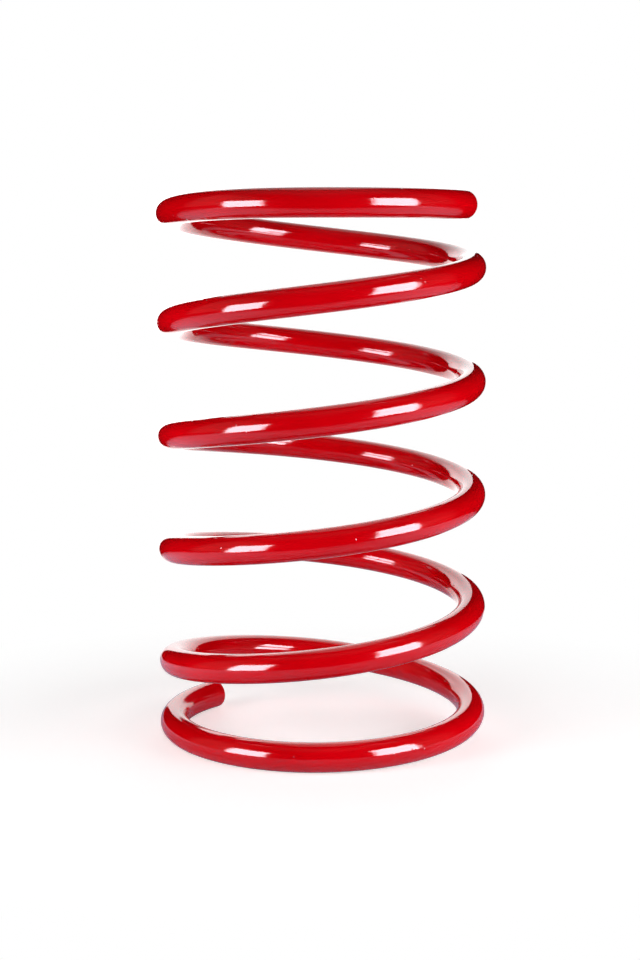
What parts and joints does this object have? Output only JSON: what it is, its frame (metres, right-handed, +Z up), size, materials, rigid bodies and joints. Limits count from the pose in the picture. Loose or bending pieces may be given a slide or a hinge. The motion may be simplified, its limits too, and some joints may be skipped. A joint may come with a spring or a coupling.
{
  "type": "helical compression spring",
  "caption": "Open helical compression spring of round wire, wound right-handed, with flat closed-down end coils and rounded cut ends, in a gloss red coat.",
  "frame": {"origin": "on the coil's axis, level with the underside of the lower end coil", "axes": "+Z up along the coil's axis; the wire climbs anticlockwise seen from above; the camera of the picture looks along +Y"},
  "size_m": [0.14, 0.14, 0.232],
  "materials": {
    "red_coat": "gloss"
  },
  "bodies": {
    "root": {"coil_spring": "red_coat"}
  },
  "joints": []
}
